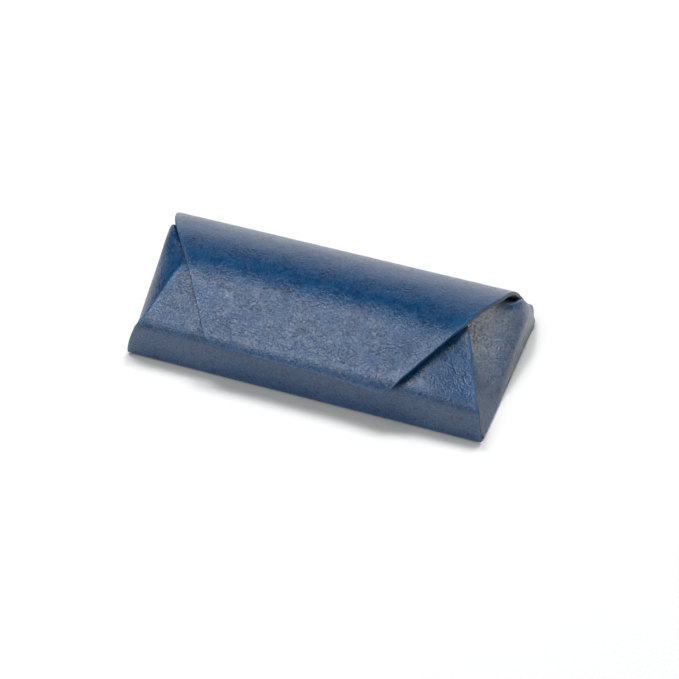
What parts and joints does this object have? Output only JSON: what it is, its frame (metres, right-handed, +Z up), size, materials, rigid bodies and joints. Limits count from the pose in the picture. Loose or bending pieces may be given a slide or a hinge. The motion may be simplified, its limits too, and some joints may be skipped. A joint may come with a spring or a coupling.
{
  "type": "eyeglasses case",
  "caption": "Folding envelope-style leather eyeglasses case with a hinged back panel and wrap-over lid held by hidden magnets.",
  "frame": {"origin": "centre of the underside of the closed case, on the table plane", "axes": "+X along the length of the case to the right seen from the front, -Y towards the front where the lid's free edge lies, +Z up"},
  "size_m": [0.17, 0.087, 0.0392],
  "materials": {
    "skin": "smooth fine-grained semi-gloss navy blue leather with painted cut edges",
    "board": "grey-brown stiffening board, matte",
    "lining": "soft napped dark lining, matte",
    "magnet": "plated disc, satin"
  },
  "bodies": {
    "pocket": {"base_leather": "skin", "base_board": "board", "base_lining": "lining", "front_leather": "skin", "front_board": "board", "front_lining": "lining", "front_magnet_left": "magnet", "front_magnet_right": "magnet", "left_side_leather": "skin", "left_side_board": "board", "left_side_lining": "lining", "right_side_leather": "skin", "right_side_board": "board", "right_side_lining": "lining"},
    "back_panel": {"back_leather": "skin", "back_board": "board", "back_lining": "lining"},
    "lid": {"lid_leather": "skin", "lid_board": "board", "lid_lining": "lining", "lid_magnet_left": "magnet", "lid_magnet_right": "magnet"}
  },
  "joints": [
    {"name": "back_crease", "type": "hinge", "parent": "pocket", "child": "back_panel", "pos_m": [0, 0.04355, 0.00115], "axis": [-1, 0, 0], "range_deg": [0, 75]},
    {"name": "lid_fold", "type": "hinge", "parent": "back_panel", "child": "lid", "pos_m": [0, 0.03738, 0.02028], "axis": [-1, 0, 0], "range_deg": [0, 85]}
  ]
}
